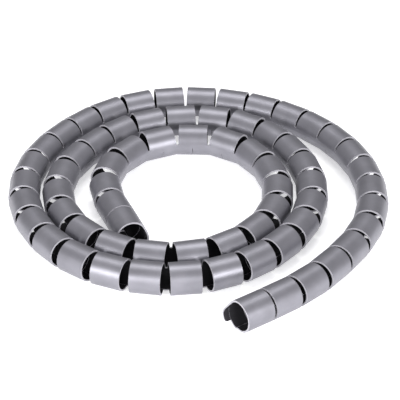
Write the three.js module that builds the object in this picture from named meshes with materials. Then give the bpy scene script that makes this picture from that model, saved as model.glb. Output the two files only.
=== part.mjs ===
// A slotted cable wrap lying on a floor in a loose flat coil. Millimetres, +Z up.
// The wrap is one plastic tube, cut by two rows of slots that leave a thin spine between them.
// The rings spread like a fan on the outside of each bend and almost close beside the spine.
import * as THREE from 'three';

// Driving dimensions of the tube
const boreDiameter = 19.6;
const wall = 1.2;
const ringPitch = 22.18;
const ringCount = 68;
const slotWidth = 1.4;
const slotTip = 0.28;
const tongueSlotWidth = 0.4;
const tongueSlotTip = 0.1;
const slitWidth = 0.3;
const spineWidth = 2.7;
const tongueCorner = 0.8;
const endFlap = 4.4;
const flapShoulder = 3.4;
const flapTaper = 1.3;

// Angles round the tube in degrees: 0 is the coil's outer side, 90 the top, 180 the inner side, 270 the floor
const floorAngle = 270;
const spineAngle = 177;
const slitAngle = 259;
const flapAngle = 222;
const slotEndAngle = 25;

// The coil's lay: radius of the tube's middle every tenth of a turn, in tube diameters, from outside inward
const lay = [10.8, 7.08, 6.24, 6.35, 6.28, 6.05, 5.72, 5.09, 4.78, 4.59, 4.56, 4.55, 4.4, 4.43, 4.61, 4.81,
  4.45, 3.88, 3.69, 3.55, 3.51, 3.5, 3.36, 3.36, 3.45, 3.56, 3.21, 2.65, 2.2, 2.01, 2.72, 5.66];
const layAngle = -116;
const layStepAngle = 36;
const mouthAngle = -72.9;

// Fineness of the long arc between the floor facet and the spine
const arcFacets = 10;

// Search for the next hinge: how far ahead to look, how often to halve, and the step that gives a direction
const searchAngle = 60;
const halvingCount = 40;
const smallAngle = 0.05;

const outerDiameter = boreDiameter + 2 * wall;
const outerRadius = outerDiameter / 2;
const boreRadius = boreDiameter / 2;
const degreesPerMm = 360 / (Math.PI * outerDiameter);

const angles = roundTheTube();
const hinges = hingePoints();
const rings = hinges.slice(0, -1).map(ringFrame);

const plastic = new THREE.MeshStandardMaterial({ color: 0x9b99a1, roughness: 0.38, metalness: 0 });
const wrap = new THREE.Mesh(thicken(sheetPattern()), plastic);
wrap.name = 'cable_wrap';

const coil = new THREE.Group();
coil.add(wrap);
standOnFloor(coil);

// Angles where the facets meet, running from the slit along the floor, the outer side and the top to
// the spine, and on past the inner side back to the slit
function roundTheTube() {
  const slitHalf = slitWidth * degreesPerMm / 2;
  const spineHalf = spineWidth * degreesPerMm / 2;
  const floorStart = slitAngle + slitHalf;
  const floorEnd = 2 * floorAngle - floorStart;
  const spineStart = 360 + spineAngle - spineHalf;
  const spineEnd = 360 + spineAngle + spineHalf;
  const slotEndStart = spineStart - slotEndAngle;
  const long = [floorStart];
  for (let i = 0; i <= arcFacets; i++) {
    long.push(floorEnd + (slotEndStart - floorEnd) * i / arcFacets);
  }
  const flap = 360 + flapAngle;
  const tip = 360 + slitAngle - slitHalf;
  return { long, spineStart, spineEnd, shortMiddle: (spineEnd + flap) / 2, flap, tip };
}

// Radius of the lay at a turning angle, a smooth cubic through the listed radii
function layRadius(degrees) {
  const place = (degrees - layAngle) / layStepAngle;
  const i = THREE.MathUtils.clamp(Math.floor(place), 0, lay.length - 2);
  const t = place - i;
  const before = lay[i - 1] ?? 2 * lay[0] - lay[1];
  const after = lay[i + 2] ?? 2 * lay[lay.length - 1] - lay[lay.length - 2];
  const slopeA = (lay[i + 1] - before) / 2;
  const slopeB = (after - lay[i]) / 2;
  const rise = lay[i + 1] - lay[i];
  const bend = 3 * rise - 2 * slopeA - slopeB;
  const twist = slopeA + slopeB - 2 * rise;
  return outerDiameter * (lay[i] + slopeA * t + bend * t * t + twist * t * t * t);
}

// Plan point of the tube's middle at a turning angle
function layPoint(degrees) {
  const angle = THREE.MathUtils.degToRad(degrees);
  return new THREE.Vector2(Math.cos(angle), Math.sin(angle)).multiplyScalar(layRadius(degrees));
}

// Plan point of the spine: the middle moved square to the lay, toward the inner side
function spinePoint(degrees) {
  const along = layPoint(degrees + smallAngle).sub(layPoint(degrees - smallAngle)).normalize();
  return layPoint(degrees).add(new THREE.Vector2(-along.y, along.x).multiplyScalar(outerRadius));
}

// The wrap can only bend where a slot leaves the spine alone, so the spine is a chain of equal chords
function hingePoints() {
  let degrees = mouthAngle;
  const points = [spinePoint(degrees)];
  while (points.length <= ringCount) {
    const from = points[points.length - 1];
    let low = degrees;
    let high = degrees + searchAngle;
    for (let i = 0; i < halvingCount; i++) {
      const middle = (low + high) / 2;
      if (spinePoint(middle).distanceTo(from) < ringPitch) low = middle;
      else high = middle;
    }
    degrees = high;
    points.push(spinePoint(degrees));
  }
  return points;
}

// Each ring is straight, and turns against the ring before it at its hinge
function ringFrame(start, k) {
  const along = hinges[k + 1].clone().sub(start).normalize();
  const outward = new THREE.Vector2(along.y, -along.x);
  return { start, along, outward };
}

// Turn between the rings on both sides of a hinge
function turnAt(k) {
  if (k <= 0 || k >= rings.length) return 0;
  const before = rings[k - 1].along;
  const after = rings[k].along;
  return before.angleTo(after) * Math.sign(before.cross(after));
}

// A point of the tube: distance along the ring, angle round it, and radius. Points on a hinge are mitred
function tubePoint({ ring, along, angle }, radius) {
  const radians = THREE.MathUtils.degToRad(angle);
  const fromSpine = outerRadius + radius * Math.cos(radians);
  const { start, along: direction, outward } = rings[Math.min(ring, rings.length - 1)];
  const base = ring === rings.length ? ringPitch : 0;
  const mitre = along === 0 && ring < rings.length ? -fromSpine * Math.tan(turnAt(ring) / 2) : 0;
  const plan = start.clone().addScaledVector(direction, base + along + mitre);
  plan.addScaledVector(outward, fromSpine);
  return new THREE.Vector3(plan.x, plan.y, radius * Math.sin(radians));
}

// The cut tube as one sheet of flat facets, each a list of [distance along the ring, angle]
function sheetPattern() {
  const facets = [];
  for (let k = 0; k < rings.length; k++) {
    for (const outline of [...longRing(), spineFacet(), ...shortTongues()]) {
      facets.push(outline.map(([along, angle]) => ({ ring: k, along, angle })));
    }
  }
  const last = rings.length - 1;
  for (const outline of flapFacets()) {
    facets.push(outline.map(([away, angle]) => ({ ring: 0, along: -away, angle })).reverse());
    facets.push(outline.map(([away, angle]) => ({ ring: last, along: ringPitch + away, angle })));
  }
  return facets;
}

// The long ring, from the slit by the floor, the outer side and the top to the spine
function longRing() {
  const side = slotWidth / 2;
  const far = ringPitch - side;
  const outlines = [];
  for (let i = 0; i < angles.long.length - 1; i++) {
    const low = angles.long[i];
    const high = angles.long[i + 1];
    outlines.push([[side, low], [far, low], [far, high], [side, high]]);
  }
  const low = angles.long[angles.long.length - 1];
  const high = angles.spineStart;
  const bevel = high - (side - slotTip) * degreesPerMm;
  outlines.push([[side, low], [far, low], [far, bevel],
    [ringPitch - slotTip, high], [slotTip, high], [side, bevel]]);
  return outlines;
}

// The spine, which runs the whole length of the wrap
function spineFacet() {
  const middle = ringPitch / 2;
  const { spineStart: low, spineEnd: high } = angles;
  return [[0, low], [slotTip, low], [ringPitch - slotTip, low], [ringPitch, low],
    [ringPitch, high], [middle + tongueSlotTip, high], [middle - tongueSlotTip, high], [0, high]];
}

// The short tongues, half a pitch out of step with the rings, from the spine down to the slit
function shortTongues() {
  const side = ringPitch / 2 - tongueSlotWidth / 2;
  const corner = ringPitch / 2 - tongueSlotTip;
  const { spineEnd, shortMiddle, flap, tip } = angles;
  const bevel = spineEnd + (corner - side) * degreesPerMm;
  const round = tip - tongueCorner * degreesPerMm;
  const half = [
    [[0, spineEnd], [corner, spineEnd], [side, bevel], [side, shortMiddle], [0, shortMiddle]],
    [[0, shortMiddle], [side, shortMiddle], [side, flap], [0, flap]],
    [[0, flap], [side, flap], [side, round], [side - tongueCorner, tip], [0, tip]],
  ];
  const mirror = ([along, angle]) => [ringPitch - along, angle];
  const otherHalf = half.map(outline => outline.map(mirror).reverse());
  return [...half, ...otherHalf];
}

// At both ends the spine stands out past the mouth, with a slanted web up to the ring and part of a tongue
// below. Each outline is a list of [distance past the mouth, angle]
function flapFacets() {
  const side = slotWidth / 2;
  const { long, spineStart, spineEnd, shortMiddle, flap } = angles;
  const webTop = long[long.length - 1];
  const bevel = spineStart - (side - slotTip) * degreesPerMm;
  return [
    [[-side, webTop], [flapShoulder, spineStart], [0, spineStart], [-slotTip, spineStart], [-side, bevel]],
    [[0, spineStart], [flapShoulder, spineStart], [endFlap, spineEnd], [0, spineEnd]],
    [[0, spineEnd], [endFlap, spineEnd], [endFlap, shortMiddle], [0, shortMiddle]],
    [[0, shortMiddle], [endFlap, shortMiddle], [endFlap - flapTaper, flap], [0, flap]],
  ];
}

// Gives the sheet its wall: an outer skin, a bore skin, and a strip along every free edge
function thicken(facets) {
  const index = new Map();
  const corners = [];
  const cornerOf = point => {
    const onNext = point.along === ringPitch;
    const tidy = onNext ? { ring: point.ring + 1, along: 0, angle: point.angle } : point;
    const key = `${tidy.ring} ${tidy.along.toFixed(4)} ${tidy.angle.toFixed(4)}`;
    if (!index.has(key)) {
      index.set(key, corners.length);
      corners.push(tidy);
    }
    return index.get(key);
  };
  const triangles = [];
  const free = new Map();
  for (const facet of facets) {
    const ids = facet.map(cornerOf);
    const flat = facet.map(({ along, angle }) => new THREE.Vector2(along, angle / degreesPerMm));
    for (const [a, b, c] of THREE.ShapeUtils.triangulateShape(flat, [])) {
      triangles.push([ids[a], ids[b], ids[c]]);
    }
    ids.forEach((a, i) => {
      const b = ids[(i + 1) % ids.length];
      if (!free.delete(`${b} ${a}`)) free.set(`${a} ${b}`, [a, b]);
    });
  }
  const positions = [];
  for (const corner of corners) {
    positions.push(...tubePoint(corner, outerRadius), ...tubePoint(corner, boreRadius));
  }
  const faces = [];
  for (const [a, b, c] of triangles) {
    faces.push(2 * a, 2 * b, 2 * c);
    faces.push(2 * a + 1, 2 * c + 1, 2 * b + 1);
  }
  for (const [a, b] of free.values()) {
    faces.push(2 * b, 2 * a, 2 * a + 1);
    faces.push(2 * b, 2 * a + 1, 2 * b + 1);
  }
  const geometry = new THREE.BufferGeometry();
  geometry.setAttribute('position', new THREE.Float32BufferAttribute(positions, 3));
  geometry.setIndex(faces);
  geometry.computeVertexNormals();
  return geometry;
}

// Puts the coil's middle over the origin and its lowest facets on the floor
function standOnFloor(group) {
  const box = new THREE.Box3().setFromObject(group, true);
  const middle = box.getCenter(new THREE.Vector3());
  group.position.set(-middle.x, -middle.y, -box.min.z);
}

export default coil;
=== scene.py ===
import math
import bpy
import bmesh
from mathutils import Matrix, Vector


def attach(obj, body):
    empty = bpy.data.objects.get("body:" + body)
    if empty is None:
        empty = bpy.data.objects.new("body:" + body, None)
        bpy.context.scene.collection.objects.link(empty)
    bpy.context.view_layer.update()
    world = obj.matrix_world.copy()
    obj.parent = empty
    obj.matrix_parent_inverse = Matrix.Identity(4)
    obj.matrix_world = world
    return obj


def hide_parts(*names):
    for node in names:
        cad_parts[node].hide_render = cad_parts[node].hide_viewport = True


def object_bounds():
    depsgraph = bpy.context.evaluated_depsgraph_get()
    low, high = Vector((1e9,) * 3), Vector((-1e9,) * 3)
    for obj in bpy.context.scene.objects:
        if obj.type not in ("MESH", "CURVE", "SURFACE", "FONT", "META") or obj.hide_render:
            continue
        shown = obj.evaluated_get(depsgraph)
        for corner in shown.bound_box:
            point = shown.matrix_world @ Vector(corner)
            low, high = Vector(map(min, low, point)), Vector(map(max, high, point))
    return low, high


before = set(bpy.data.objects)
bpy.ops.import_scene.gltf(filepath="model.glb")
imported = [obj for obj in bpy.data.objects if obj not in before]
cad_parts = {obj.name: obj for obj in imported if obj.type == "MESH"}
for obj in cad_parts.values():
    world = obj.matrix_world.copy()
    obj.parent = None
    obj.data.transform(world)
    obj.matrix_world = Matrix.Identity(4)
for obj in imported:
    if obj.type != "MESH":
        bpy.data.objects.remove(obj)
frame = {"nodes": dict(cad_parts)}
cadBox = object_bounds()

print("frame loaded, nodes:", ", ".join(frame["nodes"]))


def toLinear(hexColour):  # sRGB hex to the linear values that Blender's sockets take
    parts = [int(hexColour[i:i + 2], 16) / 255 for i in (1, 3, 5)]
    return [c / 12.92 if c <= 0.04045 else ((c + 0.055) / 1.055) ** 2.4 for c in parts] + [1.0]


def addNode(tree, kind, inputs=None, **settings):  # one node with its settings, values and links
    node = tree.nodes.new(kind)
    for name, value in settings.items():
        setattr(node, name, value)
    for name, value in (inputs or {}).items():
        isLinks = isinstance(value, list) and isinstance(value[0], bpy.types.NodeSocket)
        for one in value if isLinks else [value]:
            if isinstance(one, bpy.types.NodeSocket):
                tree.links.new(one, node.inputs[name])
            else:
                node.inputs[name].default_value = one
    return node


# the wrap's sizes, as in the solids
wrap = {
    "boreDiameter": 0.0196,
    "wall": 0.0012,
    "ringPitch": 0.02218,
    "ringCount": 68,
    "slotWidth": 0.0014,
    "tongueSlotWidth": 0.0004,
    "slitWidth": 0.0003,
    "tongueCorner": 0.0008,
    "endFlap": 0.0044,
    "flapShoulder": 0.0034,
    "flapTaper": 0.0013,
    "flapBulge": 0.65,     # how far the flap has come out at the middle of the spine
    "taperSpan": 12,       # degrees before the flap's tip where its taper starts
    "taperKnee": 5,
    "kneeShare": 0.25,     # share of the taper that is reached at its knee
    "spineAngle": 177,     # degrees round the tube: 0 outer side, 90 top, 180 inner side, 270 floor
    "spineWidth": 0.0027,
    "slitAngle": 259,
    "flapAngle": 222,
    "webSpan": 25,         # degrees over which a slanted web joins each mouth to its flap
    "facetStep": 6,        # degrees between the facets of the smooth tube
    "slotEndPoints": 4,    # steps round a slot's end
    "edgeRound": 0.0003,   # the cutter leaves the slot edges slightly rolled
    "sharpAngle": 50,      # degrees above which an edge counts as cut
    "layAngle": -116,      # degrees round the coil at the first listed radius
    "layStep": 36,
    "mouthAngle": -72.9,
    "searchAngle": 60,     # how far round the coil the next hinge is looked for
    "halvings": 40,
    "smallAngle": 0.05,
    "sameSpot": 0.00002,   # points closer than this are merged
    "lay": [10.8, 7.08, 6.24, 6.35, 6.28, 6.05, 5.72, 5.09, 4.78, 4.59, 4.56, 4.55, 4.4, 4.43, 4.61, 4.81,
            4.45, 3.88, 3.69, 3.55, 3.51, 3.5, 3.36, 3.36, 3.45, 3.56, 3.21, 2.65, 2.2, 2.01, 2.72, 5.66],
}
outerRadius = wrap["boreDiameter"] / 2 + wrap["wall"]
degreesPerMetre = 180 / (math.pi * outerRadius)
floorHalf = 270 - (wrap["slitAngle"] + wrap["slitWidth"] / 2 * degreesPerMetre)  # half the flat underside
floorDepth = outerRadius * math.cos(math.radians(floorHalf))


# where the spine runs
def layRadius(degrees):  # smooth cubic through the listed radii
    lay = wrap["lay"]
    place = (degrees - wrap["layAngle"]) / wrap["layStep"]
    i = max(0, min(len(lay) - 2, math.floor(place)))
    t = place - i
    before = lay[i - 1] if i else 2 * lay[0] - lay[1]
    after = lay[i + 2] if i + 2 < len(lay) else 2 * lay[-1] - lay[-2]
    slopeA = (lay[i + 1] - before) / 2
    slopeB = (after - lay[i]) / 2
    rise = lay[i + 1] - lay[i]
    bend = 3 * rise - 2 * slopeA - slopeB
    twist = slopeA + slopeB - 2 * rise
    return 2 * outerRadius * (lay[i] + slopeA * t + bend * t ** 2 + twist * t ** 3)


def layPoint(degrees):
    angle = math.radians(degrees)
    return Vector((math.cos(angle), math.sin(angle), 0)) * layRadius(degrees)


def spinePoint(degrees):  # half a tube inward of the tube's middle
    step = wrap["smallAngle"]
    along = (layPoint(degrees + step) - layPoint(degrees - step)).normalized()
    return layPoint(degrees) + Vector((-along.y, along.x, 0)) * outerRadius


def hingePoints():  # equal chords along the spine, one for each ring
    degrees = wrap["mouthAngle"]
    points = [spinePoint(degrees)]
    while len(points) <= wrap["ringCount"]:
        low, high = degrees, degrees + wrap["searchAngle"]
        for _ in range(wrap["halvings"]):
            middle = (low + high) / 2
            if (spinePoint(middle) - points[-1]).length < wrap["ringPitch"]:
                low = middle
            else:
                high = middle
        degrees = high
        points.append(spinePoint(degrees))
    return points


# flat patterns: x along the tube, y round it, both in metres
def arc(degrees):  # distance round the tube's outside
    return degrees / degreesPerMetre


def flatMesh(name, outlines):
    mesh = bpy.data.meshes.new(name)
    work = bmesh.new()
    corners = {}
    for outline in outlines:
        points = []
        for x, y in outline:
            key = (round(x, 7), round(y, 7))
            if key not in corners:
                corners[key] = work.verts.new((x, y, 0))
            if corners[key] not in points:
                points.append(corners[key])
        work.faces.new(points)
    work.to_mesh(mesh)
    work.free()
    flat = bpy.data.objects.new(name, mesh)
    bpy.context.scene.collection.objects.link(flat)
    return flat


def rows(start, end):  # angles from start to end in even steps near the facet step
    steps = max(1, round((end - start) / wrap["facetStep"]))
    return [start + (end - start) * i / steps for i in range(steps + 1)]


def quarter(cx, cy, radius, first, last, count=wrap["slotEndPoints"]):  # points of a round corner
    turns = [math.radians(first + (last - first) * i / count) for i in range(count + 1)]
    return [(cx + radius * math.cos(t), cy + radius * math.sin(t)) for t in turns]


def ringCell():
    pitch = wrap["ringPitch"]
    middle = pitch / 2
    side = wrap["slotWidth"] / 2
    tongueSide = wrap["tongueSlotWidth"] / 2
    corner = wrap["tongueCorner"]
    slitHalf = wrap["slitWidth"] / 2 * degreesPerMetre
    spineHalf = wrap["spineWidth"] / 2 * degreesPerMetre
    spineStart = arc(360 + wrap["spineAngle"] - spineHalf)
    spineEnd = arc(360 + wrap["spineAngle"] + spineHalf)
    slotEnd = spineStart - side
    tip = arc(360 + wrap["slitAngle"] - slitHalf)
    outlines = []
    # the long ring: flat underside, then round by the outer side and the top to the slot's end
    angles = [270 - floorHalf] + rows(270 + floorHalf, slotEnd * degreesPerMetre)
    for low, high in zip(angles, angles[1:]):
        outlines.append([(side, arc(low)), (pitch - side, arc(low)),
                         (pitch - side, arc(high)), (side, arc(high))])
    nearEnd = quarter(0, slotEnd, side, 0, 90)
    farEnd = [(pitch - x, y) for x, y in nearEnd]
    outlines.append(farEnd + [(middle, spineStart)] + nearEnd[::-1])
    # the spine, then the two half tongues on its other side
    outlines.append([(0, spineStart), (middle, spineStart), (pitch, spineStart),
                     (pitch, spineEnd), (middle, spineEnd), (0, spineEnd)])
    reach = middle - tongueSide
    notch = quarter(middle, spineEnd + tongueSide, tongueSide, 180, 270, 1)
    half = [[(0, spineEnd), (middle, spineEnd)] + notch[::-1][1:] + [(0, spineEnd + tongueSide)]]
    angles = rows((spineEnd + tongueSide) * degreesPerMetre, (tip - corner) * degreesPerMetre)
    for low, high in zip(angles, angles[1:]):
        half.append([(0, arc(low)), (reach, arc(low)), (reach, arc(high)), (0, arc(high))])
    rounded = quarter(reach - corner, tip - corner, corner, 0, 90)
    for (x0, y0), (x1, y1) in zip(rounded, rounded[1:]):
        half.append([(0, y0), (x0, y0), (x1, y1), (0, y1)])
    for outline in half:
        outlines.append(outline)
        outlines.append([(pitch - x, y) for x, y in reversed(outline)])
    return outlines


# web, spine and tongue stub past a mouth: away is -1 at the outer end and 1 at the inner end
def endFlap(away):
    reach = wrap["endFlap"]
    side = wrap["slotWidth"] / 2
    spineHalf = wrap["spineWidth"] / 2 * degreesPerMetre
    spineStart = 360 + wrap["spineAngle"] - spineHalf
    spineEnd = 360 + wrap["spineAngle"] + spineHalf
    tip = 360 + wrap["flapAngle"]
    spineMiddle = (spineStart + spineEnd) / 2
    shoulder = wrap["flapShoulder"]
    taper = wrap["flapTaper"]
    bulge = shoulder + (reach - shoulder) * wrap["flapBulge"]
    # the free edge, as distances past the mouth and angles
    edge = [(shoulder, spineStart), (bulge, spineMiddle), (reach, spineEnd)]
    edge += [(reach, angle) for angle in rows(spineEnd, tip - wrap["taperSpan"])[1:]]
    edge += [(reach - taper * wrap["kneeShare"], tip - wrap["taperKnee"]), (reach - taper, tip)]
    outlines = []
    for (x0, low), (x1, high) in zip(edge, edge[1:]):
        outlines.append([(0, arc(low)), (x0, arc(low)), (x1, arc(high)), (0, arc(high))])
    # the web widens from the mouth's edge to the spine
    slotEnd = spineStart - side * degreesPerMetre
    ringRows = rows(270 + floorHalf, slotEnd)
    webRows = [angle for angle in ringRows if angle > spineStart - wrap["webSpan"]]
    slope = (shoulder + side) / (spineStart - webRows[0])

    def slant(angle):
        return -side + slope * (angle - webRows[0])

    for low, high in zip(webRows, webRows[1:]):
        outlines.append([(-side, arc(low)), (slant(low), arc(low)),
                         (slant(high), arc(high)), (-side, arc(high))])
    corner = [(-x, y) for x, y in quarter(0, arc(slotEnd), side, 0, 90)]
    webEnd = [(slant(slotEnd), arc(slotEnd)), (shoulder, arc(spineStart)), (0, arc(spineStart))]
    outlines.append(webEnd + corner[::-1][1:])
    base = 0 if away < 0 else wrap["ringPitch"]
    placed = [[(base + away * x, y) for x, y in outline] for outline in outlines]
    return placed if away > 0 else [outline[::-1] for outline in placed]


# the node tree that hangs a ring on each chord of the spine and rolls it round
def wrapTree():
    tree = bpy.data.node_groups.new("ringsOnSpine", "GeometryNodeTree")
    sockets = tree.interface
    sockets.new_socket("Hinges", in_out="INPUT", socket_type="NodeSocketGeometry")
    for name, kind in (("Ring cell", "NodeSocketObject"), ("Outer flap", "NodeSocketObject"),
                       ("Inner flap", "NodeSocketObject"), ("Ring count", "NodeSocketInt"),
                       ("Ring pitch", "NodeSocketFloat"), ("Tube radius", "NodeSocketFloat"),
                       ("Floor depth", "NodeSocketFloat"), ("Plastic", "NodeSocketMaterial")):
        sockets.new_socket(name, in_out="INPUT", socket_type=kind)
    sockets.new_socket("Wrap", in_out="OUTPUT", socket_type="NodeSocketGeometry")
    given = addNode(tree, "NodeGroupInput").outputs

    def maths(operation, *values):
        return addNode(tree, "ShaderNodeMath", dict(enumerate(values)), operation=operation).outputs[0]

    def vectors(operation, *values):
        node = addNode(tree, "ShaderNodeVectorMath", dict(enumerate(values)), operation=operation)
        return node.outputs["Value" if operation == "DOT_PRODUCT" else "Vector"]

    def scaled(vector, factor):
        node = addNode(tree, "ShaderNodeVectorMath", {"Vector": vector, "Scale": factor}, operation="SCALE")
        return node.outputs[0]

    def stored(geometry, name, value, kind="FLOAT_VECTOR"):
        return addNode(tree, "GeometryNodeStoreNamedAttribute",
                       {"Geometry": geometry, "Name": name, "Value": value}, data_type=kind).outputs[0]

    def named(name, kind="FLOAT_VECTOR"):
        return addNode(tree, "GeometryNodeInputNamedAttribute", {"Name": name}, data_type=kind).outputs[0]

    def atIndex(value, index, kind="FLOAT_VECTOR"):
        node = addNode(tree, "GeometryNodeFieldAtIndex", {"Value": value, "Index": index}, data_type=kind)
        return node.outputs[0]

    position = addNode(tree, "GeometryNodeInputPosition").outputs[0]
    index = addNode(tree, "GeometryNodeInputIndex").outputs[0]
    lastRing = maths("SUBTRACT", given["Ring count"], 1)

    # each hinge knows where its ring starts, which way it runs, and the half turn to the ring before it
    chain = addNode(tree, "GeometryNodeMeshToPoints", {"Mesh": given["Hinges"]}).outputs[0]
    chain = stored(chain, "ringStart", position)
    ahead = vectors("SUBTRACT", atIndex(position, maths("ADD", index, 1)), position)
    chain = stored(chain, "ringAlong", vectors("NORMALIZE", ahead))
    chain = stored(chain, "ringNumber", index, "INT")
    before = atIndex(named("ringAlong"), maths("MAXIMUM", maths("SUBTRACT", index, 1), 0))
    across = vectors("CROSS_PRODUCT", before, named("ringAlong"))
    sine = addNode(tree, "ShaderNodeSeparateXYZ", {0: across}).outputs[2]
    cosine = vectors("DOT_PRODUCT", before, named("ringAlong"))
    halfTurn = maths("DIVIDE", sine, maths("ADD", cosine, 1.0))
    chain = stored(chain, "halfTurn", halfTurn, "FLOAT")
    nextIndex = maths("MINIMUM", maths("ADD", index, 1), lastRing)
    nextTurn = atIndex(named("halfTurn", "FLOAT"), nextIndex, "FLOAT")
    isLast = maths("COMPARE", index, lastRing, 0.1)
    chain = stored(chain, "endTurn", maths("MULTIPLY", nextTurn, maths("SUBTRACT", 1.0, isLast)), "FLOAT")
    pastEnd = maths("GREATER_THAN", index, lastRing)
    chain = addNode(tree, "GeometryNodeDeleteGeometry", {"Geometry": chain, "Selection": pastEnd},
                    domain="POINT").outputs[0]

    # every ring is the same flat cell, and each end has its flap
    placed = []
    for name, wanted in (("Ring cell", None), ("Outer flap", 0), ("Inner flap", lastRing)):
        cell = addNode(tree, "GeometryNodeObjectInfo", {"Object": given[name]}).outputs["Geometry"]
        cell = stored(cell, "flat", position)
        settings = {"Points": chain, "Instance": cell}
        if wanted is not None:
            settings["Selection"] = maths("COMPARE", index, wanted, 0.1)
        rings = addNode(tree, "GeometryNodeInstanceOnPoints", settings).outputs[0]
        placed.append(addNode(tree, "GeometryNodeRealizeInstances", {"Geometry": rings}).outputs[0])
    sheet = addNode(tree, "GeometryNodeJoinGeometry", {"Geometry": placed}).outputs[0]

    # roll the sheet round the tube, straight along its ring, with the spine mitred at the hinges
    flat = addNode(tree, "ShaderNodeSeparateXYZ", {0: named("flat")}).outputs
    turn = maths("DIVIDE", flat[1], given["Tube radius"])
    fromSpine = maths("MULTIPLY", given["Tube radius"], maths("ADD", maths("COSINE", turn), 1.0))
    height = maths("MULTIPLY", given["Tube radius"], maths("SINE", turn))
    height = maths("MAXIMUM", height, maths("MULTIPLY", given["Floor depth"], -1.0))
    height = maths("ADD", height, given["Floor depth"])
    atStart = maths("COMPARE", flat[0], 0.0, wrap["sameSpot"] / 2)
    atEnd = maths("COMPARE", flat[0], given["Ring pitch"], wrap["sameSpot"] / 2)
    startShift = maths("MULTIPLY", atStart, maths("MULTIPLY", named("halfTurn", "FLOAT"), -1.0))
    shift = maths("ADD", startShift, maths("MULTIPLY", atEnd, named("endTurn", "FLOAT")))
    along = maths("ADD", flat[0], maths("MULTIPLY", fromSpine, shift))
    outward = vectors("CROSS_PRODUCT", named("ringAlong"), (0, 0, 1))
    place = vectors("ADD", named("ringStart"), scaled(named("ringAlong"), along))
    place = vectors("ADD", place, scaled(outward, fromSpine))
    place = vectors("ADD", place, addNode(tree, "ShaderNodeCombineXYZ", {2: height}).outputs[0])
    sheet = addNode(tree, "GeometryNodeSetPosition", {"Geometry": sheet, "Position": place}).outputs[0]
    sheet = addNode(tree, "GeometryNodeMergeByDistance",
                    {"Geometry": sheet, "Distance": wrap["sameSpot"]}).outputs[0]

    # a map of the skin in metres: length along the whole wrap, and distance round it
    run = maths("ADD", maths("MULTIPLY", named("ringNumber", "INT"), given["Ring pitch"]), flat[0])
    skin = addNode(tree, "ShaderNodeCombineXYZ", {0: run, 1: flat[1]}).outputs[0]
    sheet = addNode(tree, "GeometryNodeStoreNamedAttribute",
                    {"Geometry": sheet, "Name": "skinMap", "Value": skin},
                    data_type="FLOAT2", domain="CORNER").outputs[0]
    sheet = addNode(tree, "GeometryNodeRealizeInstances", {"Geometry": sheet}).outputs[0]
    sheet = addNode(tree, "GeometryNodeSetShadeSmooth", {"Geometry": sheet}).outputs[0]
    sheet = addNode(tree, "GeometryNodeSetMaterial",
                    {"Geometry": sheet, "Material": given["Plastic"]}).outputs[0]
    addNode(tree, "NodeGroupOutput", {"Wrap": sheet})
    return tree


plasticLook = {
    "base": "#919098",
    "shade": "#77767d",
    # painted highlight: the paler colour of the cut rims and the rolled edges
    "edge": "#bcbac1",
    # painted shade: the dark colour of the tube's inside
    "bore": "#29282c",
    "pigment": 0.6,        # share of silver pigment, which makes the skin shine like soft metal
    "ior": 1.49,
    "roughness": 0.42,
    "roughSpread": 0.05,
    "dieLine": 0.00035,    # metres between the fine lines that the extruder's die leaves along the tube
    "dieLineLength": 0.25,
    "dieLineDepth": 0.00004,
    "dieLineStrength": 0.12,
    "clouding": 0.012,     # metres across a patch where the pigment lies a little thinner
    "cutRoughness": 0.5,
    "cutGrain": 1 / 900,
    "boreRoughness": (0.6, 0.75),
    "borePatch": 1 / 220,
    "boreShine": 0.25,
}


def newMaterial(name):  # with its node tree and its shader
    material = bpy.data.materials.new(name)
    material.use_nodes = True
    return material, material.node_tree, material.node_tree.nodes["Principled BSDF"]


def cloudy(tree, across, detail):  # soft patches in the object's own space, so many metres across
    place = addNode(tree, "ShaderNodeTexCoord").outputs["Object"]
    noise = addNode(tree, "ShaderNodeTexNoise", {"Vector": place, "Scale": 1 / across, "Detail": detail})
    return noise.outputs["Fac"]


def extrudedPlastic(look):
    # polypropylene with a silver pigment, extruded: an even satin skin with faint lengthwise die lines
    material, tree, shader = newMaterial("extruded polypropylene, silver grey")
    skin = addNode(tree, "ShaderNodeUVMap", uv_map="skinMap").outputs[0]
    lineScale = (1 / look["dieLineLength"], 1 / look["dieLine"], 1)
    stretched = addNode(tree, "ShaderNodeMapping", {"Vector": skin, "Scale": lineScale})
    lines = addNode(tree, "ShaderNodeTexNoise", {"Vector": stretched.outputs[0], "Scale": 1.0, "Detail": 2.0},
                    noise_dimensions="2D")
    clouds = cloudy(tree, look["clouding"], 3.0)
    tint = addNode(tree, "ShaderNodeMix", {"Factor": clouds, "A": toLinear(look["shade"]),
                                           "B": toLinear(look["base"])}, data_type="RGBA")
    rough = addNode(tree, "ShaderNodeMapRange", {"Value": lines.outputs["Fac"],
                                                 "To Min": look["roughness"] - look["roughSpread"],
                                                 "To Max": look["roughness"] + look["roughSpread"]})
    bump = addNode(tree, "ShaderNodeBump", {"Height": lines.outputs["Fac"],
                                            "Strength": look["dieLineStrength"],
                                            "Distance": look["dieLineDepth"]})
    tree.links.new(tint.outputs["Result"], shader.inputs["Base Color"])
    tree.links.new(rough.outputs["Result"], shader.inputs["Roughness"])
    tree.links.new(bump.outputs["Normal"], shader.inputs["Normal"])
    shader.inputs["Metallic"].default_value = look["pigment"]
    shader.inputs["IOR"].default_value = look["ior"]
    return material


def cutPlasticPaintedHighlight(look):
    # the same plastic where the cutter went through: a little paler, a painted highlight on the cut rims and
    # the rolled edges
    material, tree, shader = newMaterial("cut polypropylene edge, painted highlight")
    grain = cloudy(tree, look["cutGrain"], 2.0)
    tint = addNode(tree, "ShaderNodeMix", {"Factor": grain, "A": toLinear(look["base"]),
                                           "B": toLinear(look["edge"])}, data_type="RGBA")
    tree.links.new(tint.outputs["Result"], shader.inputs["Base Color"])
    shader.inputs["Roughness"].default_value = look["cutRoughness"]
    shader.inputs["IOR"].default_value = look["ior"]
    return material


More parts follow.
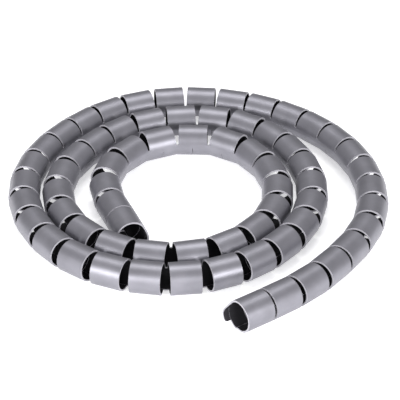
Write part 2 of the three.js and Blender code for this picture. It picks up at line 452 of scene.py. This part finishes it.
def borePaintedShade(look):
    # the tube's inside: painted shade, a dark colour standing in for the shade deep in the bore, on a dull
    # skin
    material, tree, shader = newMaterial("bore skin, dull, painted shade")
    low, high = look["boreRoughness"]
    patches = cloudy(tree, look["borePatch"], 2.0)
    rough = addNode(tree, "ShaderNodeMapRange", {"Value": patches, "To Min": low, "To Max": high})
    tree.links.new(rough.outputs["Result"], shader.inputs["Roughness"])
    shader.inputs["Base Color"].default_value = toLinear(look["bore"])
    shader.inputs["IOR"].default_value = look["ior"]
    shader.inputs["Specular IOR Level"].default_value = look["boreShine"]
    return material


def evaluated(piece):  # the piece's mesh with its modifiers run, which are then taken off
    bpy.context.view_layer.update()
    mesh = bpy.data.meshes.new_from_object(piece.evaluated_get(bpy.context.evaluated_depsgraph_get()))
    piece.modifiers.clear()
    return mesh


def rolledSheet(piece, cells, plastic):
    tree = wrapTree()
    rolled = piece.modifiers.new("rings on spine", "NODES")
    rolled.node_group = tree
    values = {"Ring cell": cells[0], "Outer flap": cells[1], "Inner flap": cells[2],
              "Ring count": wrap["ringCount"], "Ring pitch": wrap["ringPitch"],
              "Tube radius": outerRadius, "Floor depth": floorDepth, "Plastic": plastic}
    for socket in tree.interface.items_tree:
        if socket.in_out == "INPUT" and socket.name in values:
            rolled[socket.identifier] = values[socket.name]
    return evaluated(piece)


def walledMesh(piece):  # the sheet gets its wall inward, then its edges are rolled
    wall = piece.modifiers.new("wall", "SOLIDIFY")
    wall.thickness = wrap["wall"]
    wall.offset = -1
    wall.use_even_offset = True
    # the inner shell takes the bore material, which is painted shade
    wall.material_offset = 2
    # the cut rims and the rolled edges below take the cut material, which is a painted highlight
    wall.material_offset_rim = 1
    edges = piece.modifiers.new("rolled edges", "BEVEL")
    edges.width = wrap["edgeRound"]
    edges.segments = 2
    edges.limit_method = "ANGLE"
    edges.angle_limit = math.radians(wrap["sharpAngle"])
    edges.harden_normals = True
    edges.material = 1
    return evaluated(piece)


def centreInPlan(mesh):  # the wrap's middle over the middle of the solid's box
    low, high = cadBox
    shift = []
    for axis in (0, 1):
        values = [v.co[axis] for v in mesh.vertices]
        shift.append((low[axis] + high[axis] - min(values) - max(values)) / 2)
    mesh.transform(Matrix.Translation((shift[0], shift[1], 0)))


def buildWrap():
    cells = [flatMesh("ringCell", ringCell()), flatMesh("outerFlap", endFlap(-1)),
             flatMesh("innerFlap", endFlap(1))]
    hinges = hingePoints()
    chain = bpy.data.meshes.new("cableWrap")
    chain.from_pydata(hinges, [(i, i + 1) for i in range(len(hinges) - 1)], [])
    piece = bpy.data.objects.new("cableWrap", chain)
    bpy.context.scene.collection.objects.link(piece)
    skins = [extrudedPlastic(plasticLook), cutPlasticPaintedHighlight(plasticLook), borePaintedShade(plasticLook)]
    sheet = rolledSheet(piece, cells, skins[0])
    print("sheet:", len(sheet.vertices), "points,", len(sheet.polygons), "faces")
    sheet.materials.clear()
    for skin in skins:
        sheet.materials.append(skin)
    piece.data = sheet
    solid = walledMesh(piece)
    centreInPlan(solid)
    piece.data = solid
    for cell in cells:
        bpy.data.objects.remove(cell)
    solid.calc_loop_triangles()
    print("wrap:", len(solid.loop_triangles), "triangles")
    return piece


cableWrap = buildWrap()
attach(cableWrap, "root")
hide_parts("cable_wrap")
print("wrap built")

studio = {
    "floor": "#f6f6f7",
    "floorSize": 6.0,
    "floorGlow": 0.56,
    "floorRoughness": 0.9,
    "floorShine": 0.1,
    "worldStrength": 0.26,
    "boxes": [  # name, place, size in metres, watts
        ("left box", (-1.15, -1.5, 0.65), (1.2, 0.9), 36),
        ("right box", (1.15, -1.5, 0.65), (1.2, 0.9), 36),
        ("top box", (0.0, 0.5, 1.5), (1.2, 0.8), 14),
    ],
    "cameraPlace": (0.00162, -1.0469, 0.7026),
    "cameraDown": 33.5,    # degrees below level
    "sensorWidth": 36,
    "lens": 162,
}


def paleFloor():  # matt white paper that glows a little, so that it comes out white as in a light tent
    half = studio["floorSize"] / 2
    mesh = bpy.data.meshes.new("floor")
    corners = [(-half, -half, 0), (half, -half, 0), (half, half, 0), (-half, half, 0)]
    mesh.from_pydata(corners, [], [(0, 1, 2, 3)])
    floor = bpy.data.objects.new("floor", mesh)
    bpy.context.scene.collection.objects.link(floor)
    material, _, shader = newMaterial("matt white paper")
    shader.inputs["Base Color"].default_value = toLinear(studio["floor"])
    shader.inputs["Roughness"].default_value = studio["floorRoughness"]
    shader.inputs["Specular IOR Level"].default_value = studio["floorShine"]
    shader.inputs["Emission Color"].default_value = toLinear(studio["floor"])
    shader.inputs["Emission Strength"].default_value = studio["floorGlow"]
    mesh.materials.append(material)


def softbox(name, place, size, power):  # a rectangular light that faces the middle of the floor
    light = bpy.data.lights.new(name, "AREA")
    light.shape = "RECTANGLE"
    light.size, light.size_y = size
    light.energy = power
    lamp = bpy.data.objects.new(name, light)
    lamp.location = place
    lamp.rotation_euler = (-Vector(place)).to_track_quat("-Z", "Y").to_euler()
    bpy.context.scene.collection.objects.link(lamp)


def evenWorld():
    world = bpy.data.worlds.new("studio")
    world.use_nodes = True
    background = world.node_tree.nodes["Background"]
    background.inputs["Color"].default_value = (1, 1, 1, 1)
    background.inputs["Strength"].default_value = studio["worldStrength"]
    bpy.context.scene.world = world


def photoCamera():
    lensBody = bpy.data.cameras.new("camera")
    lensBody.sensor_width = studio["sensorWidth"]
    lensBody.lens = studio["lens"]
    camera = bpy.data.objects.new("camera", lensBody)
    camera.location = studio["cameraPlace"]
    camera.rotation_euler = (math.radians(90 - studio["cameraDown"]), 0, 0)
    bpy.context.scene.collection.objects.link(camera)
    bpy.context.scene.camera = camera


paleFloor()
for box in studio["boxes"]:
    softbox(*box)
evenWorld()
photoCamera()
bpy.context.scene.view_settings.view_transform = "Standard"
print("floor, lights and camera set")
